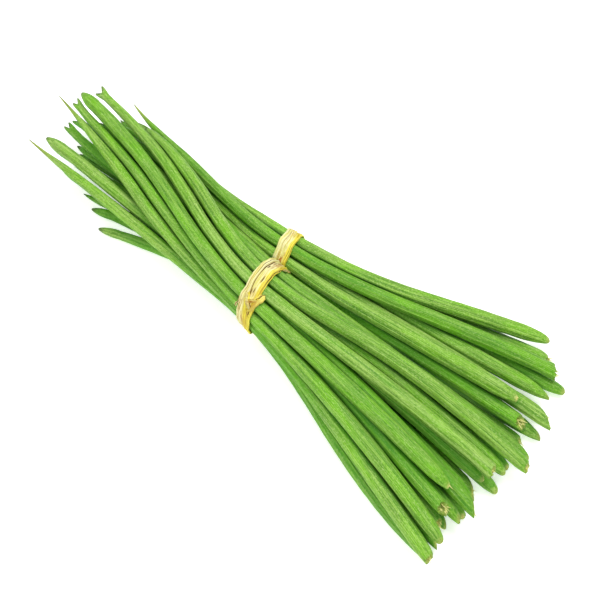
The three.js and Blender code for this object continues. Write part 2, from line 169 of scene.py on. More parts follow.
# Middles of the two handfuls, the X and lean of the loop round each, in metres, and which pods are in it
FRONT = {"y": -0.0191, "z": 0.027, "x": 0.003, "askew": 0.0036, "from": 0, "to": FRONT_PODS}
BACK = {"y": 0.0266, "z": 0.019, "x": -0.01, "askew": 0.0048, "from": FRONT_PODS, "to": len(PODS)}

# Pieces of the strip that have split off or lie over a loop: the handful, the angles round it where
# one begins and ends, its X there beside the loop's middle, its width, thickness, gold and brown
STRANDS = (
    ("golden_edge", FRONT, 0.75, 2.5, 0.0056, 0.0052, 0.004, 0.002, 1.0, 0.0),
    ("lower_strand", FRONT, 2.1, 3.65, -0.0015, 0.0068, 0.0056, 0.002, 1.0, 0.3),
    ("middle_strand", FRONT, 2.2, 3.6, -0.0035, 0.002, 0.0032, 0.002, 0.35, 0.7),
    ("inner_strand", FRONT, 2.25, 3.5, -0.006, -0.0022, 0.0028, 0.0018, 0.1, 0.5),
    ("flap", FRONT, 1.92, 2.6, 0.0106, 0.0026, 0.0058, 0.0022, 0.75, 0.5),
    ("knot_over", FRONT, 2.12, 2.5, -0.0035, 0.0048, 0.0046, 0.0034, 0.3, 0.9),
    ("knot_under", FRONT, 2.16, 2.4, 0.0068, -0.0012, 0.0042, 0.003, 0.5, 0.8),
    ("near_wisp", FRONT, 2.3, 2.75, -0.0062, -0.0088, 0.0018, 0.0016, 0.0, 0.0),
    ("far_wisp", FRONT, 0.35, 0.85, 0.0095, 0.0062, 0.0022, 0.0016, 0.1, 0.0),
    ("golden_far_edge", BACK, 0.5, 3.2, 0.0045, 0.0048, 0.0036, 0.0019, 1.0, 0.0),
    ("far_fold", BACK, 0.7, 1.9, -0.0008, 0.0022, 0.0032, 0.0022, 0.5, 0.5),
)
# Short slits between the fibres of the front loop, darkened with painted shade: angle, place across, half
# lengths of each
SLITS = (
    (1.2, -0.1, 0.14, 0.05),
    (1.62, 0.3, 0.2, 0.045),
    (2.12, -0.12, 0.16, 0.06),
    (2.0, 0.15, 0.1, 0.05),
    (2.75, 0.32, 0.4, 0.09),
    (2.9, -0.12, 0.45, 0.08),
)
# Brown stains of the loops: angle and strength, and their place across and half lengths
STAINS = ((2.4, 1.1), (0.8, 0.9))
STAIN_ACROSS = 0.3
STAIN_LONG = 0.35
STAIN_WIDE = 0.5

# The camera: what it looks at, and from where
LOOK_AT = (0.024, -0.0006, 0.02)
AZIMUTH = math.radians(41)
ELEVATION = math.radians(60)
DISTANCE = 1.4
VIEW_WIDTH = 0.45  # metres across the picture at the point looked at

# The lamps: name, place, size in metres and power in watts
LAMPS = (
    ("key", (0.1, 0.6, 1.7), 1.3, 23),
    ("fill", (0.9, -0.9, 1.3), 0.9, 6),
    ("tip_fill", (-0.8, -0.6, 1.1), 0.9, 6),
)
WORLD_LIGHT = 0.38

# The table: its size in metres, and the glow that keeps it white
TABLE_SIZE = 14
TABLE_GLOW = 0.46

# How fine each pattern of the skin is, along a pod and twice across it
WAVER_GRAIN = (30, 60, 60)
FADE_GRAIN = (25, 300, 300)
FIBRE_GRAIN = (30, 1100, 1100)
STREAK_GRAIN = (9, 330, 330)
PATCH_GRAIN = (28, 140, 140)
SPECK_GRAIN = (700, 1300, 1300)
DASH_GRAIN = (70, 1000, 1000)
WAVER = 9.0  # how far the fine pale lines stray
SKIN_RELIEF = 0.0005  # metres

# The same for the strip, the loose fibres and the table
FINE_GRAIN = (60, 2600, 2600)
BROAD_GRAIN = (60, 420, 420)
STAIN_GRAIN = (130, 420, 420)
STRAW_RELIEF = 0.0004  # metres
TORN_GRAIN = (900, 900, 900)
TABLE_GRAIN = (40, 40, 40)


def linear(hexadecimal):
    """A colour written as in a paint program, as the linear numbers that shaders take."""
    parts = [int(hexadecimal[i : i + 2], 16) / 255 for i in (0, 2, 4)]
    parts = [c / 12.92 if c <= 0.04045 else ((c + 0.055) / 1.055) ** 2.4 for c in parts]
    return (*parts, 1.0)


# Colours of the pods' skin and flesh
FIBRE_SHADOW = linear("2f6a0c")
DASH_SHADOW = linear("3d7f0c")
DASH_LIGHT = linear("b5d97c")
SPECK_LIGHT = linear("c6df8c")
SPECK_SHADOW = linear("3c7a10")
DEEP_GREEN = linear("3c9406")
# Painted shade: darker green on skin lying below a higher pod beside it
PAINTED_UNDER_SHADE_GREEN = linear("36980a")
# Painted shade: near-black green where another pod lies close
PAINTED_GAP_SHADE_GREEN = linear("0f5a00")
BEAK_YELLOW = linear("b4bd5c")
DRY_POINT = linear("5d6840")
FLESH_DARK = linear("c6cc5c")
FLESH_LIGHT = linear("efeb98")
RUST_BROWN = linear("7a7f26")

# Colours of the dried strip
STRAW_DARK = linear("e2dd78")
STRAW_LIGHT = linear("f7f4b8")
STRAW_GLINT = linear("fbf5c0")
STRAW_SHADOW = linear("bca438")
GOLD_DARK = linear("dac01e")
GOLD_LIGHT = linear("f5e93a")
STAIN_BROWN = linear("b06c14")
CREASE_TAN = linear("c89a32")
# brown of the creases, made near-black by painted shade in the creases and slits
CREASE_BROWN_AND_SHADE = linear("3c2204")

# Colours of the torn fibres and of the table
TORN_DARK = linear("d2d670")
TORN_LIGHT = linear("efeaa2")
TABLE_GREY = linear("fafafa")
TABLE_WHITE = linear("ffffff")
WHITE = (1, 1, 1, 1)


# Shader maths


class Value:
    """An output socket. Sums with numbers and other values add the Math nodes for them."""

    def __init__(self, shader, socket):
        self.shader = shader
        self.socket = socket

    def math(self, operation, *others):
        """This value and others through a Math node."""
        return self.shader.add("ShaderNodeMath", {"operation": operation}, [self, *others])

    def __add__(self, other):
        return self.math("ADD", other)

    def __sub__(self, other):
        return self.math("SUBTRACT", other)

    def __rsub__(self, other):
        return self.shader.add("ShaderNodeMath", {"operation": "SUBTRACT"}, [other, self])

    def __mul__(self, other):
        return self.math("MULTIPLY", other)

    def __pow__(self, other):
        return self.math("POWER", other)

    __radd__ = __add__
    __rmul__ = __mul__

    def smooth(self, low, high):
        """0 below low, 1 above high, and a soft step in between."""
        settings = {"interpolation_type": "SMOOTHSTEP"}
        inputs = {"Value": self, "From Min": low, "From Max": high}
        return self.shader.add("ShaderNodeMapRange", settings, inputs)


class Shader:
    """Builds the nodes of one material."""

    def __init__(self, name):
        self.material = bpy.data.materials.new(name)
        self.material.use_nodes = True
        self.tree = self.material.node_tree
        self.tree.nodes.clear()

    def add(self, kind, settings, inputs=(), out=0):
        """Adds a node: settings first, then its inputs as a list or by name."""
        node = self.tree.nodes.new(kind)
        for key, setting in settings.items():
            setattr(node, key, setting)
        pairs = inputs.items() if isinstance(inputs, dict) else enumerate(inputs)
        for key, given in pairs:
            if isinstance(given, Value):
                self.tree.links.new(given.socket, node.inputs[key])
            else:
                node.inputs[key].default_value = given
        return Value(self, node.outputs[out]) if len(node.outputs) else None

    def attribute(self, name, out="Fac"):
        """What note() kept for every vertex."""
        return self.add("ShaderNodeAttribute", {"attribute_name": name}, out=out)

    def noise(self, place, grain, detail, roughness):
        """A noise pattern, from 0 to 1, as fine along each axis as grain says."""
        stretched = self.add("ShaderNodeVectorMath", {"operation": "MULTIPLY"}, [place, grain])
        inputs = {"Vector": stretched, "Scale": 1.0, "Detail": detail, "Roughness": roughness}
        return self.add("ShaderNodeTexNoise", {}, inputs)

    def mix(self, share, one, two):
        """A colour between two, by share. A Mix node's sockets for colours are its 7th and 8th."""
        return self.add("ShaderNodeMix", {"data_type": "RGBA"}, {0: share, 6: one, 7: two}, out=2)

    def finish(self, inputs):
        """Ends the material in a Principled shader with these inputs."""
        surface = self.add("ShaderNodeBsdfPrincipled", {}, inputs)
        self.add("ShaderNodeOutputMaterial", {}, {"Surface": surface})
        return self.material


def pod_material():
    """Skin of a pod: fine lengthwise fibres, pale ribs under a bloom, and the pale flesh at the cut."""
    look = bpy.context.scene.moringa_pods
    shader = Shader("pod_skin")
    place = shader.attribute("straight", "Vector")
    rib = shader.attribute("rib")
    tone = shader.attribute("tone")
    cut = shader.attribute("cut")
    point = shader.attribute("point")
    side, up = (shader.add("ShaderNodeSeparateXYZ", {}, [place], out=axis) for axis in (1, 2))
    angle = up.math("ARCTAN2", side)
    waver = shader.noise(place, WAVER_GRAIN, 2.0, 0.5)
    threads = (angle * THREADS + waver * WAVER).math("SINE") * 0.5 + 0.5
    threads_fade = shader.noise(place, FADE_GRAIN, 2.0, 0.5).smooth(0.3, 0.62)
    fibre = shader.noise(place, FIBRE_GRAIN, 3.0, 0.6)
    streak = shader.noise(place, STREAK_GRAIN, 2.0, 0.55)
    patch = shader.noise(place, PATCH_GRAIN, 2.0, 0.5)
    speck = shader.noise(place, SPECK_GRAIN, 2.0, 0.6)
    dash = shader.noise(place, DASH_GRAIN, 2.0, 0.6)
    thread = threads.smooth(0.45, 0.95) * (threads_fade * 0.75 + 0.25)
    shade = rib * 0.55 + streak.smooth(0.3, 0.72) * 0.45
    skin = shader.mix(shade.smooth(0.1, 0.85), (*look.furrow, 1), (*look.skin, 1))
    lush = patch.smooth(0.42, 0.62) * (0.95 - tone * 0.5)
    skin = shader.mix(lush, skin, (*look.lush, 1))
    bloom = (rib * 0.45 + streak.smooth(0.42, 0.7) * 0.55) * (0.12 + tone * 0.85) * (1.0 - lush * 0.8)
    skin = shader.mix(bloom, skin, (*look.bloom, 1))
    skin = shader.mix(thread * 0.58, skin, (*look.thread, 1))
    skin = shader.mix(fibre.smooth(0.5, 0.34) * 0.5, skin, FIBRE_SHADOW)
    skin = shader.mix(dash.smooth(0.52, 0.34) * 0.35, skin, DASH_SHADOW)
    skin = shader.mix(dash.smooth(0.52, 0.7) * 0.3, skin, DASH_LIGHT)
    skin = shader.mix(speck.smooth(0.54, 0.68) * 0.5, skin, SPECK_LIGHT)
    skin = shader.mix(speck.smooth(0.46, 0.32) * 0.45, skin, SPECK_SHADOW)
    skin = shader.mix((1.0 - tone).smooth(0.5, 1.0) * 0.35, skin, DEEP_GREEN)
    # painted shade on skin lying below a higher pod beside it
    skin = shader.mix(shader.attribute("under_shade").smooth(0.3, 1.0) * 0.4, skin, PAINTED_UNDER_SHADE_GREEN)
    # painted shade, deepest where another pod lies close
    skin = shader.mix(shader.attribute("gap_shade").smooth(0.3, 1.0) * 0.92, skin, PAINTED_GAP_SHADE_GREEN)
    skin = shader.mix(shader.attribute("beak"), skin, BEAK_YELLOW)
    skin = shader.mix(point, skin, DRY_POINT)
    flesh = shader.mix(fibre.smooth(0.35, 0.65), FLESH_DARK, FLESH_LIGHT)
    colour = shader.mix(cut, skin, flesh)
    colour = shader.mix(shader.attribute("rust") * speck.smooth(0.3, 0.55), colour, RUST_BROWN)
    height = thread * 0.5 + fibre * 0.45 + streak * 0.5 + speck * 0.12
    normal = shader.add("ShaderNodeBump", {}, {"Strength": 0.7, "Distance": SKIN_RELIEF, "Height": height})
    rough = look.roughness + (patch - 0.5) * 0.2 + cut * 0.3
    inputs = {"Base Color": colour, "Roughness": rough, "Normal": normal, "Specular IOR Level": 0.22}
    return shader.finish(inputs)


def strip_material():
    """Dried fibre: cream and yellow bands with brown creases that painted shade darkens to near black, from
    the place across and along the strip.
    """
    shader = Shader("raffia")
    place = shader.attribute("straight", "Vector")
    crease = shader.attribute("crease")
    fine = shader.noise(place, FINE_GRAIN, 3.0, 0.65)
    broad = shader.noise(place, BROAD_GRAIN, 2.0, 0.5)
    stain = shader.noise(place, STAIN_GRAIN, 3.0, 0.6)
    straw = shader.mix(broad.smooth(0.35, 0.62), STRAW_DARK, STRAW_LIGHT)
    straw = shader.mix(fine.smooth(0.45, 0.65) * 0.55, straw, STRAW_GLINT)
    gold = shader.mix(broad.smooth(0.36, 0.56), GOLD_DARK, GOLD_LIGHT)
    straw = shader.mix(shader.attribute("edge") * 0.9, straw, gold)
    straw = shader.mix(fine.smooth(0.49, 0.33) * 0.5, straw, STRAW_SHADOW)
    straw = shader.mix(shader.attribute("brown") * stain.smooth(0.4, 0.62), straw, STAIN_BROWN)
    straw = shader.mix(crease.smooth(0.2, 0.6) * 0.55, straw, CREASE_TAN)
    # creases and slits go near-black: partly their brown, partly painted shade
    colour = shader.mix(crease.smooth(0.38, 0.8) * 0.96, straw, CREASE_BROWN_AND_SHADE)
    height = fine * 0.6 + broad * 0.4 - crease
    normal = shader.add("ShaderNodeBump", {}, {"Strength": 0.6, "Distance": STRAW_RELIEF, "Height": height})
    inputs = {"Base Color": colour, "Roughness": 0.62, "Normal": normal, "Specular IOR Level": 0.3}
    return shader.finish(inputs)


def fibre_material():
    """Loose fibres of the torn ends: pale yellow and green."""
    shader = Shader("torn_fibre")
    place = shader.add("ShaderNodeTexCoord", {}, {}, out="Object")
    grain = shader.noise(place, TORN_GRAIN, 2.0, 0.5)
    colour = shader.mix(grain.smooth(0.35, 0.65), TORN_DARK, TORN_LIGHT)
    return shader.finish({"Base Color": colour, "Roughness": 0.7})


def floor_material():
    """The plain white table."""
    shader = Shader("table")
    place = shader.add("ShaderNodeTexCoord", {}, {}, out="Object")
    grain = shader.noise(place, TABLE_GRAIN, 3.0, 0.5)
    colour = shader.mix(grain, TABLE_GREY, TABLE_WHITE)
    glow = {"Emission Color": WHITE, "Emission Strength": TABLE_GLOW}
    return shader.finish({"Base Color": colour, "Roughness": 0.9, "Specular IOR Level": 0.1, **glow})


# Meshes


def deselect():
    """Leaves edit mode and leaves nothing selected."""
    if bpy.context.object and bpy.context.object.mode != "OBJECT":
        bpy.ops.object.mode_set(mode="OBJECT")
    bpy.ops.object.select_all(action="DESELECT")


def tube(name, around, along):
    """A closed straight tube of length 1 along X: a circle drawn out by a Screw modifier."""
    deselect()
    bpy.ops.mesh.primitive_circle_add(vertices=around, radius=1, rotation=(0, math.pi / 2, 0))
    made = bpy.context.object
    made.name = name
    bpy.ops.object.transform_apply(rotation=True)
    screw = made.modifiers.new("draw_out", "SCREW")
    screw.axis = "X"
    screw.angle = 0
    screw.screw_offset = 1
    screw.steps = screw.render_steps = along
    bpy.ops.object.modifier_apply(modifier=screw.name)
    bpy.ops.object.mode_set(mode="EDIT")
    bpy.ops.mesh.select_all(action="SELECT")
    bpy.ops.mesh.remove_doubles(threshold=MERGE_DISTANCE)
    bpy.ops.mesh.select_all(action="DESELECT")
    bpy.ops.mesh.select_mode(type="EDGE")
    bpy.ops.mesh.select_non_manifold()
    bpy.ops.mesh.fill_holes(sides=0)
    bpy.ops.mesh.select_mode(type="FACE")
    bpy.ops.mesh.select_all(action="DESELECT")
    bpy.ops.object.mode_set(mode="OBJECT")
    for face in made.data.polygons:
        face.select = len(face.vertices) > 4
    bpy.ops.object.mode_set(mode="EDIT")
    bpy.ops.mesh.poke()
    bpy.ops.mesh.select_all(action="SELECT")
    bpy.ops.mesh.normals_make_consistent(inside=False)
    bpy.ops.object.mode_set(mode="OBJECT")
    return made


def places(mesh):
    """The places of a mesh's vertices, one row each."""
    flat = np.empty(len(mesh.vertices) * 3)
    mesh.vertices.foreach_get("co", flat)
    return flat.reshape(-1, 3)


def put(mesh, points):
    """Moves a mesh's vertices to these places."""
    mesh.vertices.foreach_set("co", np.asarray(points, dtype=float).ravel())
    mesh.update()


def note(mesh, name, numbers):
    """Keeps a number or a vector for every vertex, for the shaders."""
    numbers = np.asarray(numbers, dtype=float)
    kind = "FLOAT_VECTOR" if numbers.ndim == 2 else "FLOAT"
    key = "vector" if numbers.ndim == 2 else "value"
    mesh.attributes.new(name, kind, "POINT").data.foreach_set(key, numbers.ravel())


def wavy(seed, count, slowest):
    """A smooth random function of one number, about -1 to 1: the sum of a count of waves."""
    draw = random.Random(seed)
    waves = []
    for k in range(count):
        speed = slowest * (k + 1) * draw.uniform(0.8, 1.2)
        waves.append((speed, draw.uniform(0, FULL_TURN), 1 / (k + 1)))
    total = sum(height for _, _, height in waves)
    return lambda x: sum(height * np.sin(speed * x + start) for speed, start, height in waves) / total


def stations(name):
    """Middles and radii of a CAD pod's rings of corners, from tip to stem."""
    corners = places(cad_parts[name].data)
    corners = corners[np.argsort(corners[:, 0])]
    breaks = np.where(np.diff(corners[:, 0]) > STATION_GAP)[0] + 1
    rings = [np.unique(ring.round(6), axis=0) for ring in np.split(corners, breaks)]
    middles = np.array([(ring.min(0) + ring.max(0)) / 2 for ring in rings])
    radii = np.array([np.linalg.norm(ring - middle, axis=1).max() for ring, middle in zip(rings, middles)])
    return middles, radii


def section(line, x):
    """Y, Z and radius at X of a CAD pod, from its stations."""
    middles, radii = line
    y, z = (np.interp(x, middles[:, 0], middles[:, axis]) for axis in (1, 2))
    return y, z, np.interp(x, middles[:, 0], radii)


def smooth_interp(x, knots, values):
    """Cubic interpolation that doesn't overshoot."""
    knots, values = np.asarray(knots), np.asarray(values)
    slopes = np.diff(values) / np.diff(knots)
    before, after = slopes[:-1], slopes[1:]
    inner = np.where(after * before > 0, 2 * after * before / (after + before + 1e-12), 0)
    at = np.concatenate([slopes[:1], inner, slopes[-1:]])
    k = np.clip(np.searchsorted(knots, x) - 1, 0, len(knots) - 2)
    span = knots[k + 1] - knots[k]
    t = (x - knots[k]) / span
    return (
        values[k] * (1 + 2 * t) * (1 - t) ** 2
        + values[k + 1] * t * t * (3 - 2 * t)
        + span * t * (1 - t) * (at[k] * (1 - t) - at[k + 1] * t)
    )


def centreline(name, middles):
    """A smooth curve object through a pod's stations, and its length."""
    deselect()
    bpy.ops.curve.primitive_bezier_curve_add()
    line = bpy.context.object
    line.name = name
    line.data.dimensions = "3D"
    line.data.twist_mode = "MINIMUM"
    line.data.resolution_u = CURVE_STEPS
    spline = line.data.splines[0]
    spline.bezier_points.add(len(middles) - 2)
    for knot, middle in zip(spline.bezier_points, middles):
        knot.co = middle
        knot.handle_left_type = knot.handle_right_type = "AUTO"
    bpy.context.view_layer.update()
    return line, spline.calc_length()


class PodLook(bpy.types.PropertyGroup):
    """Sizes and colours of the pods."""

    skin: bpy.props.FloatVectorProperty(
        name="Skin", description="Green of the skin on a rib",
        subtype="COLOR", size=3, default=linear("86bd30")[:3])
    furrow: bpy.props.FloatVectorProperty(
        name="Furrow", description="Green between the ribs",
        subtype="COLOR", size=3, default=linear("3f8408")[:3])
    lush: bpy.props.FloatVectorProperty(
        name="Lush", description="Yellower green of fresh patches",
        subtype="COLOR", size=3, default=linear("7cc40c")[:3])
    bloom: bpy.props.FloatVectorProperty(
        name="Bloom", description="Pale dust on the ribs",
        subtype="COLOR", size=3, default=linear("a9cd6e")[:3])
    thread: bpy.props.FloatVectorProperty(
        name="Threads", description="Fine pale lines along a pod",
        subtype="COLOR", size=3, default=linear("b8d76c")[:3])
    roughness: bpy.props.FloatProperty(
        name="Roughness", description="Roughness of the skin",
        subtype="FACTOR", default=0.55, min=0, max=1)
    rib_depth: bpy.props.FloatProperty(
        name="Rib depth", description="Depth of a furrow as a share of the radius",
        subtype="FACTOR", default=0.09, min=0, max=0.4)
    slimming: bpy.props.FloatProperty(
        name="Slimming", description="How much slimmer a pod is at its stem end",
        subtype="FACTOR", default=0.09, min=0, max=0.5)


class StripLook(bpy.types.PropertyGroup):
    """Sizes of the tie."""

    front_width: bpy.props.FloatProperty(
        name="Front width", description="Width of the strip on the front loop",
        unit="LENGTH", default=0.0145, min=0.002)
    back_width: bpy.props.FloatProperty(
        name="Back width", description="Width of the strip on the back loop",
        unit="LENGTH", default=0.0125, min=0.002)
    thickness: bpy.props.FloatProperty(
        name="Thickness", description="Thickness of the strip",
        unit="LENGTH", default=0.0013, min=0.0003)


class MORINGA_OT_pods(bpy.types.Operator):
    """Models a straight ribbed pod once, and bends a copy of it along every pod of the frame"""

    bl_idname = "moringa.pods"
    bl_label = "Pods"

    def execute(self, context):
        look = context.scene.moringa_pods
        skin = pod_material()
        pattern = tube("pod_pattern", AROUND, ALONG)
        lines = [stations(name) for name in PODS]
        for index, name in enumerate(PODS):
            draw = random.Random(POD_SEED + index)
            middles, radii = lines[index]
            line, length = centreline(name + "_line", middles)
            walked = np.concatenate([[0], np.cumsum(np.linalg.norm(np.diff(middles, axis=0), axis=1))])
            walked *= length / walked[-1]
            deselect()
            pattern.select_set(True)
            context.view_layer.objects.active = pattern
            bpy.ops.object.duplicate()
            pod = context.object
            pod.name = name + "_skin"
            self.shape(pod.data, index + 1, walked, radii, length, look, draw)
            bend = pod.modifiers.new("bend", "CURVE")
            bend.object = line
            bend.deform_axis = "POS_X"
            bpy.ops.object.modifier_apply(modifier=bend.name)
            points = places(pod.data)
            points[:, 2] = np.maximum(points[:, 2], 0)
            put(pod.data, points)
            # masks for the painted shade between the pods and beneath higher ones
            gap_shade, under_shade = self.painted_shade_masks(points, lines[:index] + lines[index + 1 :])
            note(pod.data, "gap_shade", gap_shade)
            note(pod.data, "under_shade", under_shade)
            pod.data.materials.append(skin)
            pod.data.shade_smooth()
            bpy.data.objects.remove(line)
            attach(pod, "root")
            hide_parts(name)
        bpy.data.objects.remove(pattern)
        return {"FINISHED"}

    def painted_shade_masks(self, points, others):
        """How near the skin lies to another pod and how deep beside a higher one, both from 0 to 1: masks
        for the painted shade between and beneath the pods.
        """
        gap_shade = np.zeros(len(points))
        under_shade = np.zeros(len(points))
        for line in others:
            y, z, radius = section(line, points[:, 0])
            middles = line[0]
            beside = (points[:, 0] > middles[0, 0]) & (points[:, 0] < middles[-1, 0])
            gap = np.hypot(points[:, 1] - y, points[:, 2] - z) - radius
            gap_shade = np.maximum(gap_shade, beside * np.clip(1 - gap / GAP_SHADE_REACH, 0, 1))
            aside = np.abs(points[:, 1] - y) - radius
            below = np.clip((z + radius - points[:, 2]) / UNDER_SHADE_DEPTH, 0, 1)
            under_shade = np.maximum(under_shade, beside * np.clip(1 - aside / UNDER_SHADE_REACH, 0, 1) * below)
        return gap_shade, under_shade

    def shape(self, mesh, number, walked, radii, length, look, draw):
        """Gives the straight tube the girth, ribs, tip and broken end of one pod."""
        end = next(kind for kind in STEM_ENDS.values() if number in kind["pods"])
        points = places(mesh)
        share = points[:, 0].copy()
        off = np.hypot(points[:, 1], points[:, 2])
        angle = np.arctan2(points[:, 2], points[:, 1])
        # more steps near the two ends, where the shape changes fastest
        eased = share - CROWDED * np.sin(2 * np.pi * share)
        x = eased * length
        left = length - x
        before = np.clip(x / TIP_LENGTH, TIP_START, 1)
        swell = wavy(draw.random(), 6, 40)
        lobes = wavy(draw.random(), 4, 25)
        girth = smooth_interp(x, walked, radii)
        ripple = np.sin(x * 2 * np.pi / RIPPLE_LENGTH)
        girth = girth * (GIRTH_SHARE + SWELLING * swell(x) + RIPPLE * ripple)
        girth = self.fill_tip(girth, number, before, draw)
        girth = self.taper_end(girth, end, left, look, draw)
        # the ribs start anywhere round the pod, and wind a little along it
        turned = angle + draw.uniform(0, FULL_TURN) + draw.uniform(-1, 1) * eased
        broad_rib = (0.5 + 0.5 * np.cos(RIBS * turned)) ** 0.55
        fine_rib = 0.5 + 0.5 * np.cos(2 * RIBS * turned + 0.8)
        rib = BROAD_SHARE * broad_rib + FINE_SHARE * fine_rib
        seam = np.maximum(0, np.cos(SEAMS * turned + 0.35)) ** 8
        flat = 1 + THREE_SIDED * np.cos(SEAMS * turned) + LOBED * lobes(x)
        radius = girth * flat * (1 - look.rib_depth * (1 - rib) - SEAM_DEPTH * seam) * off
        y = radius * np.cos(angle)
        z = radius * np.sin(angle)
        x = self.break_off(x, y, z, share, off, angle, left, end, radii[-1], draw)
        wilted = np.clip(1 - left / WILTED_LENGTH, 0, 1) ** 2
        y = y * (1 + WILTED_WIDER * wilted)
        z = z * (1 - WILTED_FLATTER * wilted)
        # the dry point of the tip
        nib = np.clip(1 - x / draw.uniform(0.003, 0.007), 0, 1)
        if number in FORKED_TIPS:
            x, y, z, nib = self.fork(x, y, z, nib, number, off, angle, before, draw)
        hook = np.clip(1 - x / HOOK_LENGTH, 0, 1) ** 2
        y = y + hook * draw.uniform(-0.0025, 0.0025)
        z = z + hook * draw.uniform(-0.001, 0.001)
        put(mesh, np.stack([x, y, z], 1))
        shifted = x + draw.uniform(0, PATTERN_SPREAD)
        note(mesh, "straight", np.stack([shifted, radius * np.cos(turned), radius * np.sin(turned)], 1))
        note(mesh, "rib", rib)
        note(mesh, "tone", np.full(len(x), draw.random()))
        note(mesh, "point", nib)
        beak = np.clip(1.25 - x / BEAK_LENGTH, 0, 1) * 0.8 if number in BEAKED_TIPS else 0 * x
        note(mesh, "beak", beak)
        self.note_break(mesh, end, share, off, left)

    def fill_tip(self, girth, number, before, draw):
        """Makes the tip fuller than a cone, and a forked one the fullest."""
        fullness = draw.uniform(*OTHER_FULLNESS)
        for kind, kind_fullness in TIP_FULLNESS:
            fullness = kind_fullness if number in kind else fullness
        return girth * before ** -fullness

    def taper_end(self, girth, end, left, look, draw):
        """Slims the stem half, tapers the end of it and rounds the edge."""
        slimmer = np.clip((SLIM_LENGTH - left) / SLIM_LENGTH, 0, 1)
        girth = girth * (1 - look.slimming * slimmer * slimmer * (3 - 2 * slimmer))
        near = np.clip(1 - left / end["taper"], 0, 1)
        girth = girth * (1 - end["shrink"] * draw.uniform(0.7, 1.2) * near ** 2)
        dome = np.clip(left / end["dome"], 0, 1)
        return girth * (0.45 + 0.55 * np.sqrt(1 - (1 - dome) ** 2))

    def break_off(self, x, y, z, share, off, angle, left, end, radius, draw):
        """X of the corners when the stem end is slanted, torn and hollowed."""
        teeth = (np.sin(k * angle + draw.uniform(0, FULL_TURN)) / k ** 0.4 for k in (1, 3, 5, 9, 14))
        torn = sum(teeth) / 2.2
        faces = end["faces"] + draw.uniform(-0.4, 0.4)
        slant = end["slope"] * (y * math.cos(faces) + z * math.sin(faces) + radius)
        last = np.clip(1 - left / (BREAK_LENGTH + BREAK_SPREAD * end["slope"] * radius), 0, 1)
        tear = last ** 6 * end["torn"] * (1 + torn * off)
        hollow = (share > END_RING) * (1 - off) * end["dip"]
        return x - last * (slant - BREAK_FORWARD * end["slope"] * radius) - tear - hollow

    def fork(self, x, y, z, nib, number, off, angle, before, draw):
        """Splits the tip into two thin points with a notch between them."""
        aside = draw.uniform(0.1, 0.7)
        split = np.cos(angle - aside)
        opening = np.clip(1 - before * TIP_LENGTH / FORK_LENGTH, 0, 1)
        apart = opening ** 1.2 * FORKED_TIPS[number] * np.sign(split) * np.abs(split) ** 0.5 * off
        y = y + apart * math.cos(aside)
        z = z + apart * math.sin(aside)
        x = x + opening * FORK_NOTCH * (1 - np.abs(split) ** 2 * off)
        return x, y, z, 0.7 * nib * np.abs(split) ** 3

    def note_break(self, mesh, end, share, off, left):
        """Notes the rim of the broken end, its pale flesh and its brown."""
        on_end = (share > END_RING) * 1.0
        note(mesh, "rim", on_end * (off > 0.5))
        hollow = end["dip"] > HOLLOW
        torn = end["fibres"] > 0
        whitened = 0.4 + 0 * off if hollow else 0.35 + 0.65 * (1 - off) + 0.3 * torn
        pale = np.clip(1 - left / PALE_LENGTH, 0, 1) * (0.15 if torn else 0.35)
        note(mesh, "cut", np.maximum(on_end * whitened, pale))
        browned = 1 - 0.5 * off if hollow else off
        note(mesh, "rust", end["rust"] * np.clip(1 - left / RUST_LENGTH, 0, 1) * browned)


class MORINGA_OT_ends(bpy.types.Operator):
    """Models the pale fibres that stand out of the torn stem ends"""

    bl_idname = "moringa.ends"
    bl_label = "Torn ends"

    def execute(self, context):
        draw = random.Random(FIBRE_SEED)
        made = []
        for kind in STEM_ENDS.values():
            for number in kind["pods"]:
                skin = bpy.data.objects[f"pod_{number:02d}_skin"].data
                rim = np.empty(len(skin.vertices))
                skin.attributes["rim"].data.foreach_get("value", rim)
                corners = places(skin)[rim > 0.9]
                middle = corners.mean(0)
                out = Vector(middle - stations(f"pod_{number:02d}")[0][-3]).normalized()
                for _ in range(round(kind["fibres"] * draw.uniform(0.7, 1.5))):
                    corner = corners[draw.randrange(len(corners))]
                    root = Vector(corner * (1 - FIBRE_INWARD) + middle * FIBRE_INWARD) - out * FIBRE_ROOT
                    side = (root - Vector(middle)).normalized()
                    scatter = Vector([draw.uniform(-FIBRE_SCATTER, FIBRE_SCATTER) for _ in range(3)])
                    aim = (out + side * draw.uniform(-0.3, 0.35) + scatter).normalized()
                    reach = draw.uniform(*FIBRE_LENGTHS)
                    if min(root.z, root.z + aim.z * reach) < OVER_TABLE:
                        continue
                    deselect()
                    bpy.ops.mesh.primitive_cone_add(
                        vertices=FIBRE_SIDES, radius1=draw.uniform(*FIBRE_RADII), radius2=FIBRE_POINT,
                        depth=reach, location=root + aim * reach / 2,
                        rotation=aim.to_track_quat("Z", "Y").to_euler())
                    made.append(context.object)
        deselect()
        for piece in made:
            piece.select_set(True)
        context.view_layer.objects.active = made[0]
        bpy.ops.object.join()
        fibres = context.object
        fibres.name = "torn_fibres"
        bpy.ops.object.transform_apply(location=True, rotation=True, scale=True)
        fibres.data.materials.append(fibre_material())
        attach(fibres, "root")
        return {"FINISHED"}


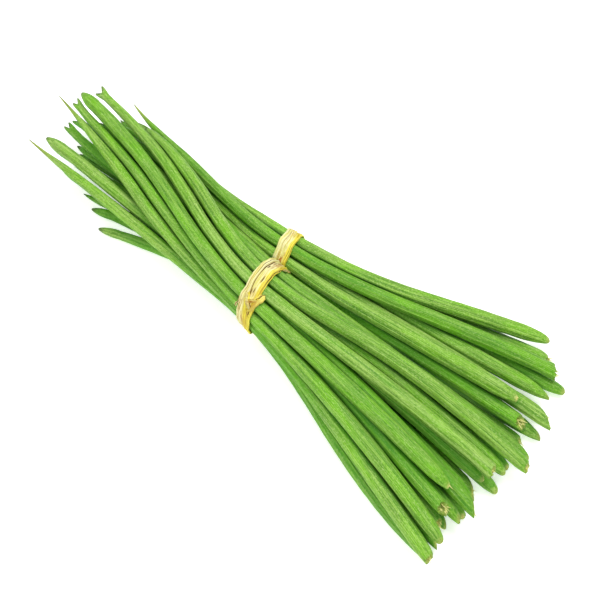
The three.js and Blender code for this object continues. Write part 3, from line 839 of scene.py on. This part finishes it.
class MORINGA_OT_tie(bpy.types.Operator):
    """Models the strip of dried fibre round the two handfuls"""

    bl_idname = "moringa.tie"
    bl_label = "Tie"

    def execute(self, context):
        look = context.scene.moringa_strip
        self.lines = [stations(name) for name in PODS]
        straw = strip_material()
        loops = [
            self.loop("front_loop", FRONT, look.front_width, look.thickness, 0.0, 3),
            self.loop("back_loop", BACK, look.back_width, look.thickness, math.pi, 8),
        ]
        for seed, strand in enumerate(STRANDS):
            loops.append(self.strand(STRAND_SEED + seed, *strand))
        for piece in loops:
            piece.data.materials.append(straw)
            piece.data.shade_smooth()
            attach(piece, "root")
            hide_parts("raffia_tie")
        return {"FINISHED"}

    def reach(self, handful, x, angles):
        """How far a stretched strip lies from the handful's middle, in each direction."""
        lines = self.lines[handful["from"] : handful["to"]]
        y, z, radius = np.array([section(line, x) for line in lines]).T
        facing = np.linspace(0, 2 * np.pi, FACINGS + 1)[:-1]
        sideways = np.outer(np.cos(facing), y - handful["y"])
        upwards = np.outer(np.sin(facing), z - handful["z"])
        support = (sideways + upwards + radius * SKIN_SWELL).max(1)
        turn = np.cos(facing[None] - angles[:, None])
        return np.where(turn > GRAZING, support[None] / np.maximum(turn, GRAZING), FAR).min(1)

    def outline(self, handful, x, angles):
        """The reach at any X, from a table over the width of the tie."""
        span = np.linspace(x.min() - OUTLINE_MARGIN, x.max() + OUTLINE_MARGIN, OUTLINE_ROWS)
        rows = np.array([self.reach(handful, at, angles) for at in span])
        k = np.clip(np.searchsorted(span, x) - 1, 0, OUTLINE_ROWS - 2)
        t = (x - span[k]) / (span[k + 1] - span[k])
        columns = np.arange(len(angles))
        return rows[k, columns] * (1 - t) + rows[k + 1, columns] * t

    def lay(self, made, handful, angle, across, above, width, middle, thickness, seed, gold, brown):
        """Lays a piece round the handful: across runs from -1 to 1 and above from 0 to 1."""
        draw = random.Random(seed)
        x = middle + across * width / 2 - handful["askew"] * np.cos(angle)
        crease = np.zeros_like(across)
        count = max(3, round(width.max() / CREASE_GAP))
        for k in range(count):
            drift = wavy(draw.random(), 4, 1.0)
            at = -0.9 + 1.8 * (k + draw.uniform(0.15, 0.85)) / count + 0.07 * drift(angle * 2)
            deep = draw.uniform(0.6, 1.3) * (0.6 + 0.6 * wavy(draw.random(), 4, 1.7)(angle))
            line = np.exp(-(((across - at) * width / 2 / draw.uniform(*CREASE_WIDTHS)) ** 2))
            crease = np.maximum(crease, line * np.clip(deep, 0, 1))
        # slits join the crease mask, so they get the same painted shade
        if made.name == "front_loop":
            for turn, at, long, wide in SLITS:
                slit = np.exp(-((((angle - turn) / long) ** 2 + ((across - at) / wide) ** 2) ** 2))
                crease = np.maximum(crease, slit)
        ridges = 0.85 + 0.35 * wavy(draw.random(), 7, 3.0)(across * 4 + 0.6 * np.sin(angle)) - 0.8 * crease
        rim = np.clip((1 - np.abs(across)) / 0.16, 0, 1) ** 0.5
        lift = thickness * (0.12 + 0.88 * rim) * np.clip(ridges, 0.08, 1.4) * above
        radius = self.outline(handful, x, angle) + STRIP_GAP + lift
        y = handful["y"] + radius * np.cos(angle)
        z = np.maximum(handful["z"] + radius * np.sin(angle), 0.0)
        put(made.data, np.stack([x, y, z], 1))
        along = angle * HANDFUL_RADIUS + seed
        note(made.data, "straight", np.stack([along, across * width / 2, above * UNDERSIDE], 1))
        note(made.data, "crease", crease * np.clip(above * 2, 0, 1))
        note(made.data, "edge", np.clip(gold, 0, 1))
        note(made.data, "brown", np.clip(brown, 0, 1))
        return made

    def loop(self, name, handful, width, thickness, valley, seed):
        """A closed loop: a ring of sections, thicker where the two loops cross."""
        deselect()
        count = 2 * STRIP_ACROSS
        bpy.ops.mesh.primitive_torus_add(major_segments=STRIP_AROUND, minor_segments=count)
        made = bpy.context.object
        made.name = name
        index = np.arange(STRIP_AROUND * count)
        angle = (index // count) * 2 * np.pi / STRIP_AROUND
        turn = (index % count) / count * 2
        above = np.where(turn < 1, 1.0, 0.0)
        across = np.where(turn < 1, -1 + 2 * turn, 3 - 2 * turn)
        ragged = wavy(seed + 0.5, 6, 3.0)(angle) * WIDTH_CHANGE
        ragged = ragged + wavy(seed + 0.7, 5, 11.0)(angle + 3 * above) * RAGGED_EDGE
        middle = handful["x"] + LOOP_DRIFT * wavy(seed, 3, 2)(angle)
        between = np.maximum(0, np.cos(angle - valley)) ** 6
        thick = thickness * (1 + CROSSING * between)
        gold = (across - 0.3) / 0.4 + 0.3 * wavy(seed + 0.2, 5, 2.0)(angle + across)
        off_middle = ((across - STAIN_ACROSS) / STAIN_WIDE) ** 2
        brown = sum(
            strength * np.exp(-(((angle - place) / STAIN_LONG) ** 2) - off_middle)
            for place, strength in STAINS
        )
        self.lay(made, handful, angle, across, above, width * (1 + ragged), middle, thick, seed, gold, brown)
        deselect()
        made.select_set(True)
        bpy.context.view_layer.objects.active = made
        bpy.ops.object.mode_set(mode="EDIT")
        bpy.ops.mesh.select_all(action="SELECT")
        bpy.ops.mesh.normals_make_consistent(inside=False)
        bpy.ops.object.mode_set(mode="OBJECT")
        return made

    def strand(self, seed, name, handful, start, end, first_x, last_x, width, thickness, gold, brown):
        """An open piece of the strip with pointed ends, lying over the loop."""
        made = tube(name, STRAND_AROUND, STRAND_ALONG)
        points = places(made.data)
        share = points[:, 0]
        turn = np.arctan2(points[:, 2], points[:, 1])
        off = np.hypot(points[:, 1], points[:, 2])
        angle = start + (end - start) * share
        across = np.cos(turn) * off
        above = 0.5 + 0.5 * np.sin(turn) * off
        taper = np.clip(np.sin(np.pi * np.clip(share, 0.02, 0.98)) * 2.5, 0.12, 1)
        crumple = 1 + CRUMPLE * wavy(seed, 5, 9.0)(share)
        middle = handful["x"] + first_x + (last_x - first_x) * share
        middle = middle + STRAND_DRIFT * wavy(seed + 0.4, 4, 7.0)(share)
        width = width * taper * crumple
        brown = brown * (1.2 - np.abs(2 * share - 1))
        self.lay(made, handful, angle, across, above, width, middle, thickness * crumple, seed,
                 gold + 0 * share, brown)
        return made


class MORINGA_OT_stage(bpy.types.Operator):
    """Sets up the table, the lights and the camera"""

    bl_idname = "moringa.stage"
    bl_label = "Stage"

    def execute(self, context):
        deselect()
        bpy.ops.mesh.primitive_plane_add(size=TABLE_SIZE)
        floor = context.object
        floor.name = "table"
        floor.data.materials.append(floor_material())
        target = Vector(LOOK_AT)
        for name, place, size, power in LAMPS:
            bpy.ops.object.light_add(type="AREA", location=place)
            lamp = context.object
            lamp.name = name
            lamp.data.size = size
            lamp.data.energy = power
            lamp.rotation_euler = (target - Vector(place)).to_track_quat("-Z", "Y").to_euler()
        world = bpy.data.worlds.new("studio")
        context.scene.world = world
        world.use_nodes = True
        background = world.node_tree.nodes["Background"]
        background.inputs["Color"].default_value = WHITE
        background.inputs["Strength"].default_value = WORLD_LIGHT
        level = math.cos(ELEVATION)
        back = Vector((math.sin(AZIMUTH) * level, -math.cos(AZIMUTH) * level, math.sin(ELEVATION)))
        turn = (math.pi / 2 - ELEVATION, 0, AZIMUTH)
        bpy.ops.object.camera_add(location=target + back * DISTANCE, rotation=turn)
        camera = context.object
        camera.data.sensor_fit = "HORIZONTAL"
        camera.data.angle = 2 * math.atan(VIEW_WIDTH / 2 / DISTANCE)
        context.scene.camera = camera
        context.scene.view_settings.view_transform = "Standard"
        return {"FINISHED"}


class MORINGA_PT_panel(bpy.types.Panel):
    """Lists the bunch's operators and settings"""

    bl_idname = "MORINGA_PT_panel"
    bl_label = "Moringa bunch"
    bl_space_type = "VIEW_3D"
    bl_region_type = "UI"
    bl_category = "Moringa"

    def draw(self, context):
        for group in (context.scene.moringa_pods, context.scene.moringa_strip):
            for key in group.__annotations__:
                self.layout.prop(group, key)
        for operator in OPERATORS:
            self.layout.operator(operator.bl_idname)


OPERATORS = (MORINGA_OT_pods, MORINGA_OT_ends, MORINGA_OT_tie, MORINGA_OT_stage)
CLASSES = (PodLook, StripLook, *OPERATORS, MORINGA_PT_panel)


def register():
    """Adds the classes and the settings of the scene."""
    for item in CLASSES:
        bpy.utils.register_class(item)
    bpy.types.Scene.moringa_pods = bpy.props.PointerProperty(type=PodLook)
    bpy.types.Scene.moringa_strip = bpy.props.PointerProperty(type=StripLook)


def unregister():
    """Takes them away again."""
    del bpy.types.Scene.moringa_strip
    del bpy.types.Scene.moringa_pods
    for item in reversed(CLASSES):
        bpy.utils.unregister_class(item)


def main():
    """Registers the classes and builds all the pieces."""
    register()
    bpy.ops.moringa.pods()
    bpy.ops.moringa.ends()
    bpy.ops.moringa.tie()
    bpy.ops.moringa.stage()


if __name__ == "__main__":
    main()
